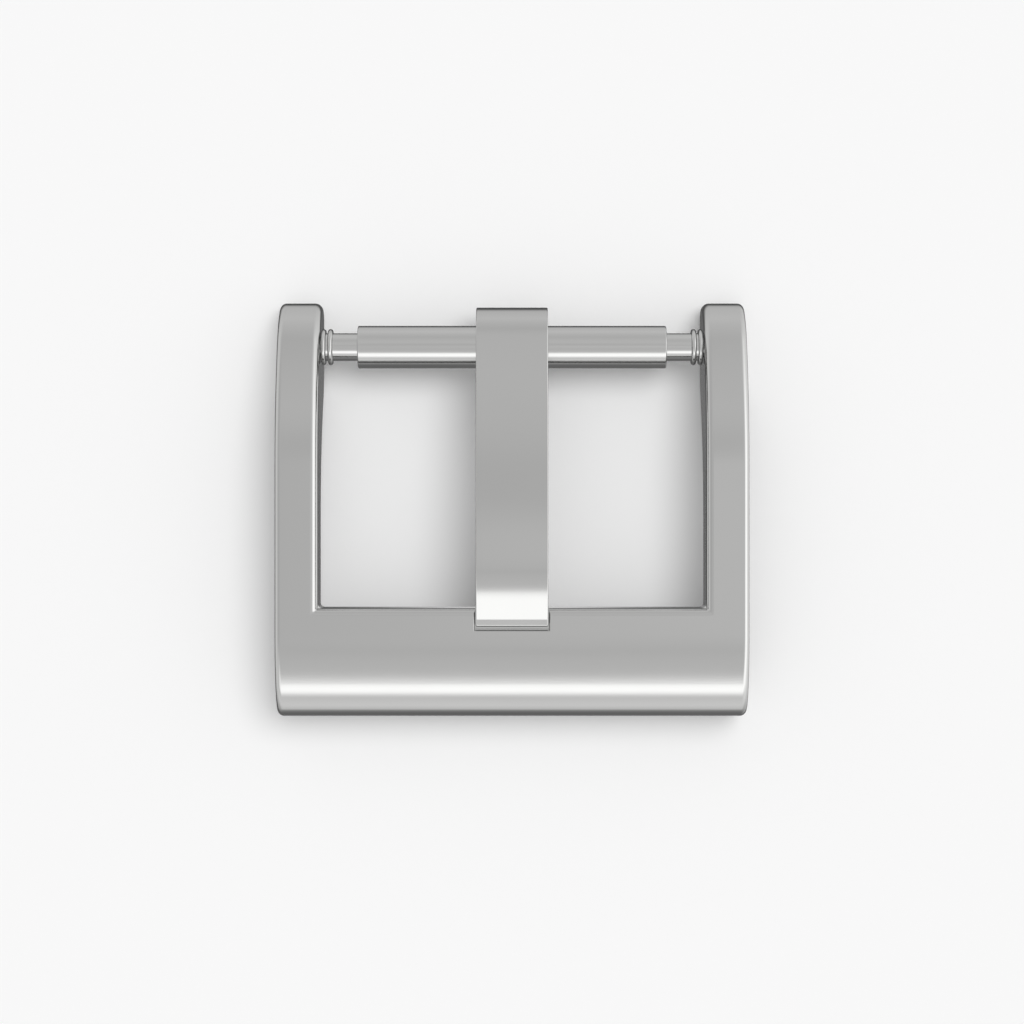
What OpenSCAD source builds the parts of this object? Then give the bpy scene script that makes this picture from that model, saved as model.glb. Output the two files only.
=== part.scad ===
// Strap buckle: an arched frame, a tongue rolled round a sprung bar, and the bar's own pieces.
// X runs along the bar, +Y points to the bar's end of the frame and +Z is up. Sizes are in millimetres.
// The origin is under the middle of the part, on the surface that it lies on.

/* [Frame] */
// Gap between the arms, which is the width of the strap
strap_w = 18; // [14:0.5:26]
// Width of each arm
arm_w = 2; // [1.6:0.1:3.2]
// Length from the front face to the ends of the arms
frame_l = 19.5; // [17.4:0.1:26]
// Height of the flat top above the surface
frame_h = 4.2; // [3.8:0.1:5]
// Length of the front bar, from its face to the window
bar_l = 5.12; // [4.9:0.01:6.5]
// Thickness of the front bar over the arched underside
bar_t = 2.1; // [1.9:0.1:2.6]
// Distance from the arms' ends to where the flat top starts to fall
fall_l = 7.8; // [6.5:0.1:9.5]
// Radius of the arms' shoulders, where the fall meets the rounded ends
shoulder_r = 3.9; // [3.2:0.1:4.4]
// Tilt at which the shoulders end, in degrees
shoulder_tilt = 52; // [48:1:56]
// Radius of the arms' rounded ends, seen from the side
end_r = 1.63; // [1.4:0.01:1.8]
// Height of the upright stretch under the rounded ends
end_upright = 0.05; // [0.02:0.01:0.3]
// Radius of the polished edges along the window
edge_in_r = 0.35; // [0.2:0.05:0.42]
// Radius of the polished edges along the outside
edge_out_r = 0.3; // [0.2:0.01:0.42]
// Depth of the lightly broken edges of the underside
edge_under = 0.05; // [0.03:0.01:0.1]
// Radius of the corners where the arms' ends reach the surface
foot_r = 0.75; // [0.6:0.05:0.9]

/* [Front bar] */
// Radius of the first, gentle stretch of the front curve
front_gentle_r = 8; // [6:0.5:8.5]
// Radius of the middle stretch of the front curve
front_middle_r = 3; // [2.4:0.1:3.1]
// Radius of the nose, down to the upright front face
nose_r = 1.3; // [1:0.05:1.4]
// Tilt at which the gentle stretch ends, in degrees
gentle_tilt = 16.5; // [12:0.5:17]
// Tilt at which the middle stretch ends, in degrees
middle_tilt = 44; // [38:1:46]
// Radius of the front lip's lower corners
lip_r = 0.6; // [0.45:0.05:0.7]
// Length of the flat foot between the lip's corners
lip_l = 0.2; // [0.1:0.05:0.4]
// Radius of the hollow behind the lip
lip_hollow_r = 3.1; // [2.2:0.1:3.3]

/* [Arms] */
// Length of the flat feet under the arms' ends
arm_foot_l = 3; // [2.4:0.1:3.4]
// Radius of the bend where the foot meets the arch
knee_r = 3; // [1:0.1:3.5]
// Radius of the arch under the arms
arch_r = 10; // [8:0.2:12]

/* [Pivot] */
// Distance of the bar's axis from the arms' ends
pivot_back = 2.15; // [1.9:0.05:2.3]
// Height of the bar's axis above the surface
pivot_h = 1.95; // [1.92:0.01:2]
// Depth of the blind holes in the arms
hole_depth = 1.25; // [1.15:0.05:1.4]

/* [Tongue] */
// Width of the tongue
tongue_w = 3.35; // [2.4:0.05:4.4]
// Thickness of the strip that the tongue is bent from
tongue_t = 0.8; // [0.7:0.05:0.82]
// Tilt of the strip where it leaves the rolled eye, in degrees
eye_tilt = 13; // [12:0.5:13.5]
// Distance from the window's front edge back to the tongue's crest
crest_l = 2.3; // [2.1:0.05:2.6]
// Radius of the bend down to the tip
bend_r = 5.2; // [4.5:0.1:6]
// Tilt of the straight stretch behind the tip, in degrees
tip_tilt = 21.5; // [20:0.5:23]
// Length of the tongue's tip over the bar, from the window's edge
tip_seat = 1; // [0.8:0.05:1.2]
// Radius of the tip's rounded upper edge
tip_r = 0.7; // [0.3:0.05:0.7]
// Angle of the rolled eye that is open in front, in degrees
eye_open = 55; // [40:5:80]

/* [Spring bar] */
// Outer diameter of the tube
tube_d = 2; // [1.8:0.05:2.05]
// Wall of the tube
tube_wall = 0.2; // [0.15:0.01:0.25]
// Length of bare plunger between the tube and the arm
tube_gap = 1.75; // [1.6:0.05:2.2]
// Length of the turned-in mouths of the tube
mouth_l = 0.25; // [0.2:0.05:0.4]
// Diameter of the plungers between their flanges and the tube
shank_d = 1.3; // [1.1:0.05:1.35]
// Diameter of the plungers' double flanges
flange_d = 1.7; // [1.55:0.05:1.9]
// Width of the inner flange
flange_in_w = 0.24; // [0.16:0.01:0.3]
// Width of the outer flange
flange_out_w = 0.22; // [0.16:0.01:0.3]
// Width of the groove between the flanges
groove_w = 0.09; // [0.06:0.01:0.16]
// Diameter of the tips that sit in the arms
tip_d = 0.9; // [0.7:0.05:1]
// Length of the tips inside the arms
tip_l = 0.95; // [0.7:0.05:1]
// Length of the heads that the mouths hold in the tube
head_l = 0.8; // [0.5:0.05:1.2]

/* [Spring] */
// Diameter of the spring's wire
wire_d = 0.2; // [0.14:0.01:0.24]
// Free space between two turns of the spring
turn_gap = 0.45; // [0.42:0.01:0.7]

/* [Clearances] */
// Radial clearance of the tips in their holes, of the heads in the tube and of the shanks in its mouths
run_gap = 0.05; // [0.03:0.01:0.08]
// Radial clearance of the tongue's eye on the tube
eye_gap = 0.06; // [0.04:0.01:0.08]
// Clearance between two faces that meet when the part is at rest
seat_gap = 0.03; // [0.02:0.01:0.06]
// Clearance on each side of the tongue in its notch, and before its tip
notch_gap = 0.075; // [0.05:0.005:0.15]
// Way that a head can still slide out before the mouth stops it
head_play = 0.2; // [0.1:0.05:0.4]

/* [Hidden] */
$fn = 96;
steel = [0.78, 0.78, 0.79];
bright_steel = [0.86, 0.86, 0.87];
dark_steel = [0.6, 0.61, 0.63];

// Places along the frame. Tilts are measured from straight up, positive towards +Y.
half_w = strap_w / 2;
side_x = half_w + arm_w;
back_y = frame_l / 2;
front_y = -frame_l / 2;
window_y = front_y + bar_l;
arch_h = frame_h - bar_t;
pivot_y = back_y - pivot_back;

// The top falls in one long arc that meets the shoulder, and the shoulder meets the rounded end.
fall_y = back_y - fall_l;
end_c = [back_y - end_r, foot_r + end_upright];
shoulder_back = (shoulder_r - end_r) * sin(shoulder_tilt);
shoulder_down = (shoulder_r - end_r) * cos(shoulder_tilt);
shoulder_c = end_c - [shoulder_back, shoulder_down];
fall_drop = frame_h - shoulder_c[1];
fall_run = shoulder_c[0] - fall_y;
fall_r = (fall_run * fall_run + fall_drop * fall_drop - shoulder_r * shoulder_r)
    / (2 * (fall_drop - shoulder_r));
fall_c = [fall_y, frame_h - fall_r];
fall_tilt = asin(fall_run / (fall_r - shoulder_r));
foot_c = [back_y - foot_r, foot_r];

// The front curve is three arcs, each carrying on from the one before.
middle_back = (front_middle_r - nose_r) * sin(middle_tilt);
middle_down = (front_middle_r - nose_r) * cos(middle_tilt);
gentle_back = (front_gentle_r - front_middle_r) * sin(gentle_tilt);
gentle_down = (front_gentle_r - front_middle_r) * cos(gentle_tilt);
gentle_c = [front_y + nose_r + middle_back + gentle_back, frame_h - front_gentle_r];
middle_c = gentle_c + [-gentle_back, gentle_down];
nose_c = middle_c + [-middle_back, middle_down];

// The underside: each hollow meets the round that stands on the surface.
knee_c = [back_y - arm_foot_l, knee_r];
arch_reach = sqrt(2 * (knee_r + arch_r) * arch_h - arch_h * arch_h);
arch_c = [knee_c[0] - arch_reach, arch_h - arch_r];
arch_tilt = asin(arch_reach / (knee_r + arch_r));
lip_front_c = [front_y + lip_r, lip_r];
lip_back_c = [front_y + lip_r + lip_l, lip_r];
hollow_reach = sqrt(2 * (lip_r + lip_hollow_r) * arch_h - arch_h * arch_h);
hollow_c = [lip_back_c[0] + hollow_reach, arch_h - lip_hollow_r];
hollow_tilt = atan2(hollow_reach, lip_r - hollow_c[1]);

function way(tilt) = [sin(tilt), cos(tilt)];
function steps_between(from, to, steps) = [for (i = [0 : steps]) from + (to - from) * i / steps];
function reversed(list) = [for (i = [len(list) - 1 : -1 : 0]) list[i]];
function arc_points(c, r, from, to, steps) = [for (t = steps_between(from, to, steps)) c + r * way(t)];

// An arc that carries on from another leaves out the point that they share.
function without_first(list) = [for (i = [1 : len(list) - 1]) list[i]];

// Steps along the arcs of each row. Both front rows have to add up alike, and so do both rear rows.
edge_steps = 3;
top_front_steps = [4, 7, 8];
under_front_steps = [7, 5, 6];
top_rear_steps = [8, 4, 10];
under_rear_steps = [9, 4, 8];

// A station of the side view is a point of the surface, the way into the metal there, and how deep the
// window's edge and the outer edge may cut. On top that is the full radius, except that the window's
// edge ends at the bar. The underside's edges are only broken, and the two depths run into each other
// over the lowest arcs.
top_cuts = [edge_in_r, edge_out_r];
bar_cuts = [0, edge_out_r];
under_cuts = [edge_under, edge_under];
bar_under_cuts = [0, edge_under];
function bulge(c, r, from, to, steps, cuts, end_cuts) =
    [for (i = [0 : steps])
        let (t = from + (to - from) * i / steps, end = is_undef(end_cuts) ? cuts : end_cuts)
        concat([c + r * way(t), -way(t)], cuts + (end - cuts) * i / steps)];
function hollow(c, r, from, to, steps, cuts) =
    [for (t = steps_between(from, to, steps)) concat([c + r * way(t), way(t)], cuts)];
function rim(height, inward, r, out_cut) =
    [for (a = steps_between(90, 0, edge_steps))
        [[window_y - r * (1 - sin(a)), height], inward, r * (1 - cos(a)), out_cut]];

top_front = concat(
    rim(frame_h, [0, -1], edge_in_r, edge_out_r),
    bulge(gentle_c, front_gentle_r, 0, -gentle_tilt, top_front_steps[0], bar_cuts),
    without_first(bulge(middle_c, front_middle_r, -gentle_tilt, -middle_tilt, top_front_steps[1], bar_cuts)),
    without_first(bulge(nose_c, nose_r, -middle_tilt, -90, top_front_steps[2], bar_cuts))
);
under_front = concat(
    rim(arch_h, [0, 1], edge_under, edge_under),
    hollow(hollow_c, lip_hollow_r, 0, -hollow_tilt, under_front_steps[0], bar_under_cuts),
    without_first(bulge(lip_back_c, lip_r, 180 - hollow_tilt, 180, under_front_steps[1], bar_under_cuts)),
    bulge(lip_front_c, lip_r, 180, 270, under_front_steps[2], bar_under_cuts, bar_cuts)
);
top_rear = concat(
    bulge(fall_c, fall_r, 0, fall_tilt, top_rear_steps[0], top_cuts),
    without_first(bulge(shoulder_c, shoulder_r, fall_tilt, shoulder_tilt, top_rear_steps[1], top_cuts)),
    without_first(bulge(end_c, end_r, shoulder_tilt, 90, top_rear_steps[2], top_cuts))
);
under_rear = concat(
    hollow(arch_c, arch_r, 0, arch_tilt, under_rear_steps[0], under_cuts),
    without_first(bulge(knee_c, knee_r, 180 + arch_tilt, 180, under_rear_steps[1], under_cuts)),
    bulge(foot_c, foot_r, 180, 90, under_rear_steps[2], under_cuts, top_cuts)
);
stations = concat(reversed(top_rear), top_front, reversed(under_front), under_rear);

// The rings run across an arm, from the window's edge to the outer edge. A ring is its place across,
// how deep it cuts at most, and which of a station's two depths limits it.
rings_in = [for (a = steps_between(90, 0, edge_steps))
    [half_w + edge_in_r * (1 - sin(a)), edge_in_r * (1 - cos(a)), 2]];
rings_out = [for (a = steps_between(0, 90, edge_steps))
    [side_x - edge_out_r * (1 - sin(a)), edge_out_r * (1 - cos(a)), 3]];
rings_across = concat(rings_in, rings_out);

function frame_points(side) =
    [for (ring = rings_across, s = stations)
        let (p = s[0] + min(ring[1], s[ring[2]]) * s[1])
        [side * ring[0], p[0], p[1]]];

station_n = len(stations);
ring_n = len(rings_across);
rear_n = len(top_rear);
left_start = ring_n * station_n;

// A four-sided patch as two triangles, split from its first corner to its third
function patch(a, b, c, d) = [[a, b, c], [a, c, d]];
function turned_over(faces) = [for (f = faces) reversed(f)];

// The skin of an arm, split along the mitres at the window's corners
function arm_skin(start) =
    [for (j = [0 : ring_n - 2], i = [0 : station_n - 1])
        let (a = start + j * station_n + i, b = start + j * station_n + (i + 1) % station_n)
        each i < station_n / 2
            ? patch(a, a + station_n, b + station_n, b)
            : patch(b, a, a + station_n, b + station_n)];

// A flat side of an arm: rungs from the top row to the row under it
function ladder(start, rungs) =
    [for (k = [0 : rungs - 1])
        let (low = start + station_n - 1 - k)
        each patch(start + k, start + k + 1, low - 1, low)];

function arm_faces(start) =
    concat(
        arm_skin(start),
        ladder(start, rear_n),
        turned_over(ladder(start + left_start - station_n, station_n / 2 - 1))
    );

// The bar's skin from one arm to the other, closed by the face along the window
function bar_faces() =
    [for (i = [rear_n : station_n - 1 - rear_n])
        let (next = i < station_n - 1 - rear_n ? i + 1 : rear_n)
        each patch(i, next, left_start + next, left_start + i)];

// The tongue's curves run forward from the rolled eye.
tube_r = tube_d / 2;
eye_r = tube_r + eye_gap;
roll_r = eye_r + tongue_t;
eye_c = [pivot_y, pivot_h];
crest_y = window_y + crest_l;
back_r = roll_r + (pivot_y - crest_y) / sin(eye_tilt);
back_c = eye_c - (back_r - roll_r) * way(eye_tilt);
bend_c = back_c + [0, back_r - bend_r];
bend_end = bend_c + bend_r * way(-tip_tilt);
tip_y = window_y - tip_seat;
tip_flat = (bend_end[0] - tip_y - tip_r * (1 - sin(tip_tilt))) / cos(tip_tilt);
tip_c = bend_end + tip_flat * way(-tip_tilt - 90) - tip_r * way(-tip_tilt);
tip_corner = tip_c + tip_r * way(-tip_tilt - 90) - (tongue_t - tip_r) * way(-tip_tilt);
notch_y = tip_y - notch_gap;
notch_floor = tip_corner[1] - seat_gap;

// The strip is sunk a little into the rolled eye, so that the two join.
sink = 0.005;
strip_steps = 6;
function strip_row(inset) = concat(
    without_first(arc_points(back_c, back_r - inset, eye_tilt, 0, strip_steps)),
    without_first(arc_points(bend_c, bend_r - inset, 0, -tip_tilt, strip_steps))
);
strip_outline = concat(
    [eye_c + (roll_r - sink) * way(eye_tilt)],
    strip_row(0),
    without_first(arc_points(tip_c, tip_r, -tip_tilt, -tip_tilt - 90, strip_steps)),
    [tip_corner],
    reversed(strip_row(tongue_t)),
    [eye_c + (eye_r + sink) * way(eye_tilt), eye_c + (eye_r + tongue_t / 2) * way(2 * eye_tilt)]
);

// Places along the spring bar, measured from the middle
tube_end = half_w - tube_gap;
bore_r = tube_r - tube_wall;
mouth_r = shank_d / 2 + run_gap;
head_r = bore_r - run_gap;
head_out = tube_end - mouth_l - head_play;
head_in = head_out - head_l;
flange_out = half_w - seat_gap;
groove_out = flange_out - flange_out_w;
groove_in = groove_out - groove_w;
flange_in = groove_in - flange_in_w;
tip_end = half_w + tip_l;

// Small turned edges, and how far a cutting outline reaches past the metal
tube_edge_r = 0.06;
tip_chamfer = 0.12;
past = 1;

// The spring's turns and the rings of its wire. It has twice the heads' clearance in the tube.
ring_steps = 8;
wire_sides = 6;
coil_r = bore_r - 2 * run_gap - wire_d / 2;
coil_l = 2 * (head_in - wire_d);
turns = floor(coil_l / (wire_d + turn_gap));
pitch = coil_l / turns;
rings = turns * ring_steps;

// Extrudes a shape drawn in Y and Z along X.
module along_x(from, to) {
    translate([from, 0, 0])
        rotate([90, 0, 90])
            linear_extrude(to - from)
                children();
}

module frame() {
    color(steel)
        difference() {
            polyhedron(
                concat(frame_points(1), frame_points(-1)),
                concat(arm_faces(0), turned_over(arm_faces(left_start)), bar_faces())
            );
            for (side = [-1, 1])
                translate([side * half_w, pivot_y, pivot_h])
                    rotate([0, 90, 0])
                        cylinder(h = 2 * hole_depth, r = tip_d / 2 + run_gap, center = true);
            translate([-tongue_w / 2 - notch_gap, notch_y, notch_floor])
                cube([tongue_w + 2 * notch_gap, bar_l, frame_h]);
        }
}

module tongue() {
    color(bright_steel)
        along_x(-tongue_w / 2, tongue_w / 2) {
            translate(eye_c)
                difference() {
                    circle(roll_r);
                    circle(eye_r);
                    polygon(concat([[0, 0]], arc_points([0, 0], 2 * roll_r, -eye_open, 0, 2)));
                }
            polygon(strip_outline);
        }
}

// Turns a half outline, drawn as place along the bar and radius, about the bar's axis.
module turned() {
    translate([0, pivot_y, pivot_h])
        rotate([0, 90, 0])
            rotate_extrude()
                rotate([0, 0, 90])
                    mirror([0, 1])
                        children();
}

module tube() {
    color(bright_steel)
        turned()
            difference() {
                union() {
                    translate([-tube_end + tube_edge_r, 0])
                        square([2 * (tube_end - tube_edge_r), tube_r]);
                    translate([-tube_end, 0])
                        square([2 * tube_end, tube_r - tube_edge_r]);
                    for (side = [-1, 1])
                        translate([side * (tube_end - tube_edge_r), tube_r - tube_edge_r])
                            circle(tube_edge_r);
                }
                translate([-tube_end - past, -past])
                    square([2 * (tube_end + past), past + mouth_r]);
                translate([-tube_end + mouth_l, -past])
                    square([2 * (tube_end - mouth_l), past + bore_r]);
            }
}

// A flange with a fully rounded rim
module flange(from, width) {
    translate([from, 0])
        square([width, flange_d / 2 - width / 2]);
    translate([from + width / 2, flange_d / 2 - width / 2])
        circle(width / 2);
}

// The outline of the plunger on the +X side
module plunger_outline() {
    translate([head_in, 0])
        square([head_l, head_r]);
    translate([head_in, 0])
        square([flange_out - head_in, shank_d / 2]);
    translate([head_in, 0])
        square([tip_end - tip_chamfer - head_in, tip_d / 2]);
    polygon([
        [tip_end - tip_chamfer, 0],
        [tip_end, 0],
        [tip_end, tip_d / 2 - tip_chamfer],
        [tip_end - tip_chamfer, tip_d / 2]
    ]);
}

module plunger() {
    turned() {
        intersection() {
            union() {
                plunger_outline();
                flange(flange_in, flange_in_w);
                flange(groove_out, flange_out_w);
            }
            square([side_x, flange_d]);
        }
    }
}

module plunger_right() {
    color(bright_steel)
        plunger();
}

module plunger_left() {
    color(bright_steel)
        mirror([1, 0, 0])
            plunger();
}

// The wire's middle line: a helix about the bar, with a short straight end at each head
function coil_middle(i) =
    let (turn = 360 * i / ring_steps)
    [-coil_l / 2 + pitch * i / ring_steps, coil_r * cos(turn), coil_r * sin(turn)];
function coil_out(i) = let (turn = 360 * i / ring_steps) [0, cos(turn), sin(turn)];
function coil_along(i) =
    let (turn = 360 * i / ring_steps, run = 2 * PI * coil_r)
    [pitch, -run * sin(turn), run * cos(turn)] / norm([pitch, run]);
function unit(v) = v / norm(v);
function wire_ring(c, out, along) =
    [for (k = [0 : wire_sides - 1])
        let (a = 360 * k / wire_sides)
        c + wire_d / 2 * (cos(a) * out + sin(a) * cross(along, out))];

straight = [1, 0, 0];
wire_points = concat(
    wire_ring(coil_middle(0) - wire_d * straight, coil_out(0), straight),
    wire_ring(coil_middle(0), coil_out(0), unit(straight + coil_along(0))),
    [for (i = [1 : rings - 1]) each wire_ring(coil_middle(i), coil_out(i), coil_along(i))],
    wire_ring(coil_middle(rings), coil_out(rings), unit(straight + coil_along(rings))),
    wire_ring(coil_middle(rings) + wire_d * straight, coil_out(rings), straight)
);
last_ring = rings + 2;
wire_faces = concat(
    [for (k = [1 : wire_sides - 2]) [0, k, k + 1]],
    [for (i = [0 : last_ring - 1], k = [0 : wire_sides - 1])
        let (a = i * wire_sides, next = (k + 1) % wire_sides)
        each [[a + k, a + wire_sides + k, a + wire_sides + next], [a + k, a + wire_sides + next, a + next]]],
    [for (k = [1 : wire_sides - 2])
        let (a = last_ring * wire_sides)
        [a, a + k + 1, a + k]]
);
turn_spaces = [for (i = [0 : rings - ring_steps], j = [-2 : 2])
    if (i + ring_steps + j <= rings)
        norm(coil_middle(i + ring_steps + j) - coil_middle(i)) - wire_d];
echo(least_gap_of_the_spring = min(turn_spaces));

module spring() {
    color(dark_steel)
        translate([0, pivot_y, pivot_h])
            polyhedron(wire_points, wire_faces);
}

frame();
tongue();
tube();
plunger_left();
plunger_right();
spring();
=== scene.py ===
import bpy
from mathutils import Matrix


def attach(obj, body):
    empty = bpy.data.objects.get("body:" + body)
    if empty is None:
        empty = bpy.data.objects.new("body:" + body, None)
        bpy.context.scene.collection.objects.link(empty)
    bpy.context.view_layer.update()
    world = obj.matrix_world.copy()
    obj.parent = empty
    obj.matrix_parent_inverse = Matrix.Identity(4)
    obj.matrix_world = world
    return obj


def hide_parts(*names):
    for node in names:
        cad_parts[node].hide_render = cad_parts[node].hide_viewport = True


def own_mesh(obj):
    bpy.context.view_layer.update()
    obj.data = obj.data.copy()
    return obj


bl_info = {
    "name": "Strap Buckle",
    "version": (1, 0, 0),
    "blender": (4, 5, 0),
    "location": "View3D > Sidebar > Buckle",
    "description": "Dresses a small steel strap buckle: its arched frame, rolled tongue and sprung bar",
    "category": "Add Mesh",
}

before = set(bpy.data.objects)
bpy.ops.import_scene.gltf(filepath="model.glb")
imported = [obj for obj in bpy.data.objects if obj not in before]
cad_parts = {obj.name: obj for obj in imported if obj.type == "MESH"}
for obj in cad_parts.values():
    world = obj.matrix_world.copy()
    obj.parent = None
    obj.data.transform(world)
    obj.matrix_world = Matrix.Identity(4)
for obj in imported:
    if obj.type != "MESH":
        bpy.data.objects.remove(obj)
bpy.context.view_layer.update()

import math
from types import SimpleNamespace

import bmesh
import bpy
from bpy.props import FloatProperty, PointerProperty, StringProperty
from bpy.types import Operator, Panel, PropertyGroup
from mathutils import Vector

# Everything is drawn a thousand times its size, in millimetres, so that the tools' own small
# tolerances don't merge its edges. finish_piece then brings it to its real size.
MM = 0.001
AXIS_X = (1, 0, 0)
QUARTER = math.pi / 2

# A step of a drawn arc neither turns nor reaches further than this
STEP_TURN = math.radians(2.5)
STEP_REACH = 0.3

# Steps round the shapes that aren't drawn as arcs
EDGE_STEPS = 10
UNDER_EDGE_STEPS = 3
CORNER_STEPS = 6
STRIP_EDGE_STEPS = 3
LATHE_STEPS = 96
BORE_STEPS = 64
WIRE_STEPS = 12
STEPS_A_TURN = 24

# Places closer than this are the same, and vertices closer than this are one
SAME_PLACE = 1e-3
DOUBLES = 1e-4

# Faces that meet at more than this stay sharp, and the strip's own edges are sharper still
SHARP_EDGE = math.radians(38)
STRIP_EDGE = math.radians(60)

# The notch's tool flares at the top by steps of so many degrees, and ends so far over the flat top
FLARE_STEP = 15
FLARE_OVER = 0.002

# Sizes and colours


def length(name, description, millimetres):
    return FloatProperty(
        name=name, description=description, default=millimetres * MM, unit="LENGTH", precision=5
    )


def angle(name, description, degrees):
    return FloatProperty(
        name=name, description=description, default=math.radians(degrees), subtype="ANGLE"
    )


def hex_colour(name, description, code):
    return StringProperty(name=name, description=description, default=code, maxlen=7)


class BUCKLE_PG_frame(PropertyGroup):
    """Sizes of the arched frame"""

    strap_w: length("Strap width", "Gap between the arms", 18)
    arm_w: length("Arm width", "Width of each arm", 2)
    frame_l: length("Length", "From the front face to the arms' ends", 19.5)
    frame_h: length("Height", "Height of the flat top over the surface", 4.2)
    bar_l: length("Front bar", "From the front face to the window", 5.12)
    bar_t: length("Bar thickness", "Metal over the arched underside", 2.1)
    fall_l: length("Fall", "From the arms' ends to where the top starts to fall", 7.8)
    shoulder_r: length("Shoulder radius", "Where the fall meets the rounded ends", 3.9)
    shoulder_tilt: angle("Shoulder tilt", "Tilt at which the shoulders end", 52)
    end_r: length("End radius", "Roundness of the arms' ends, seen from the side", 1.63)
    end_upright: length("End upright", "Upright stretch under the rounded ends", 0.05)
    foot_r: length("Foot radius", "Corner where an arm's end reaches the surface", 0.75)
    gentle_r: length("Gentle radius", "First stretch of the front curve", 8)
    middle_r: length("Middle radius", "Middle stretch of the front curve", 3)
    nose_r: length("Nose radius", "Last stretch of the front curve", 1.3)
    gentle_tilt: angle("Gentle tilt", "Tilt at which the gentle stretch ends", 16.5)
    middle_tilt: angle("Middle tilt", "Tilt at which the middle stretch ends", 44)
    lip_r: length("Lip radius", "Lower corners of the front lip", 0.6)
    lip_l: length("Lip length", "Flat foot between the lip's corners", 0.2)
    hollow_r: length("Hollow radius", "Hollow behind the lip", 3.1)
    arm_foot_l: length("Arm foot", "Flat feet under the arms' ends", 3)
    knee_r: length("Knee radius", "Bend where the foot meets the arch", 3)
    arch_r: length("Arch radius", "Arch under the arms", 10)
    edge_in_r: length("Inner edge", "Roundness of the edges along the window", 0.35)
    edge_out_r: length("Outer edge", "Roundness of the edges along the outside", 0.3)
    edge_under: length("Underside's edge", "Depth of the lightly broken edges of the underside", 0.05)
    corner_r: length("Corner radius", "Fillet in the window's front corners", 0.2)
    notch_w: length("Notch width", "Width of the notch for the tongue's tip", 3.44)
    notch_l: length("Notch length", "From the window's edge to the notch's wall", 1.005)
    notch_floor: length("Notch floor", "Height of the notch's floor over the surface", 3.174)
    notch_edge: length("Notch edge", "Roundness of the notch's upper edges", 0.12)
    bore_d: length("Bore", "Diameter of the blind holes for the bar's tips", 1)
    bore_l: length("Bore depth", "Depth of the blind holes", 1.25)


class BUCKLE_PG_tongue(PropertyGroup):
    """Sizes of the tongue"""

    width: length("Width", "Width of the strip", 3.35)
    thickness: length("Thickness", "Thickness of the strip", 0.8)
    eye_r: length("Eye radius", "Inside of the rolled eye", 1.06)
    eye_open: angle("Eye opening", "Gap of the rolled eye in front", 55)
    eye_tilt: angle("Eye tilt", "Tilt of the strip where it leaves the eye", 13)
    crest_y: length("Crest", "Place of the highest point along the frame", -2.33)
    bend_r: length("Bend radius", "Bend down to the tip", 5.2)
    tip_tilt: angle("Tip tilt", "Tilt of the straight stretch behind the tip", 21.5)
    tip_l: length("Tip length", "Straight stretch behind the flattened tip", 0.93)
    flat_r: length("Flat's hollow", "Hollow where the flattened tip starts", 0.5)
    flat_tilt: angle("Flat's tilt", "Tilt of the flattened tip", 14)
    flat_l: length("Flat length", "Length of the flattened tip", 0.24)
    nose_r: length("Nose radius", "Roundness of the tip's upper edge", 0.1)
    edge_r: length("Edge", "Broken edge along the strip", 0.05)


class BUCKLE_PG_bar(PropertyGroup):
    """Sizes of the spring bar"""

    pivot_y: length("Axis place", "Place of the bar's axis along the frame", 7.6)
    pivot_z: length("Axis height", "Height of the bar's axis", 1.95)
    tube_d: length("Tube", "Outer diameter of the tube", 2)
    bore_d: length("Tube bore", "Inner diameter of the tube", 1.6)
    tube_end: length("Tube end", "From the middle to the tube's end", 7.25)
    mouth_l: length("Mouth", "Length of the turned-in mouths", 0.25)
    mouth_d: length("Mouth bore", "Inner diameter of the mouths", 1.4)
    tube_edge: length("Tube edge", "Rounded edge of the tube's ends", 0.06)
    head_in: length("Head start", "From the middle to the plunger's head", 6)
    head_out: length("Head end", "From the middle to the end of the head", 6.8)
    head_d: length("Head", "Diameter of the plunger's head", 1.5)
    shank_d: length("Shank", "Diameter of the plunger's shank", 1.3)
    flange_d: length("Flange", "Diameter of the double flange", 1.7)
    flange_in: length("Flange start", "From the middle to the inner flange", 8.42)
    groove_in: length("Groove start", "From the middle to the groove", 8.66)
    groove_out: length("Groove end", "From the middle to the outer flange", 8.75)
    flange_out: length("Flange end", "From the middle to the flange's outer face", 8.97)
    tip_d: length("Tip", "Diameter of the tip in the arm", 0.9)
    tip_end: length("Tip end", "From the middle to the end of the tip", 9.95)
    tip_chamfer: length("Tip chamfer", "Chamfer at the end of the tip", 0.12)
    wire_d: length("Wire", "Diameter of the spring's wire", 0.2)
    coil_r: length("Coil radius", "From the axis to the wire's middle", 0.6)
    coil_half: length("Coil half", "From the middle to the end of the winding", 5.8)
    half_turns: FloatProperty(
        name="Half turns", description="Turns from the middle to one end", default=8.5
    )
    push: length("Push", "Way that a plunger goes in", 1.14)


class BUCKLE_PG_looks(PropertyGroup):
    """Colours of the steel and of the stage"""

    frame_steel: hex_colour("Frame steel", "Satin-polished cast stainless steel", "#B0B0AF")
    tongue_steel: hex_colour("Tongue steel", "Satin-polished stainless strip", "#B0B0AF")
    bar_steel: hex_colour("Bar steel", "Turned and polished stainless steel", "#B2B2B1")
    wire_steel: hex_colour("Spring wire", "Drawn spring wire", "#8C8D90")
    floor: hex_colour("Floor", "Pale floor", "#F8F8F8")


# Drawing and shaping


def in_millimetres(group):
    """The sizes of a property group, lengths in millimetres and angles in radians."""
    kinds = group.bl_rna.properties
    sizes = {key: getattr(group, key) for key in group.__annotations__}
    return SimpleNamespace(
        **{key: size / MM if kinds[key].unit == "LENGTH" else size for key, size in sizes.items()}
    )


def way(tilt):
    """The direction in the side view at a tilt from straight up, positive towards the arms' ends."""
    return Vector((math.sin(tilt), math.cos(tilt)))


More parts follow.
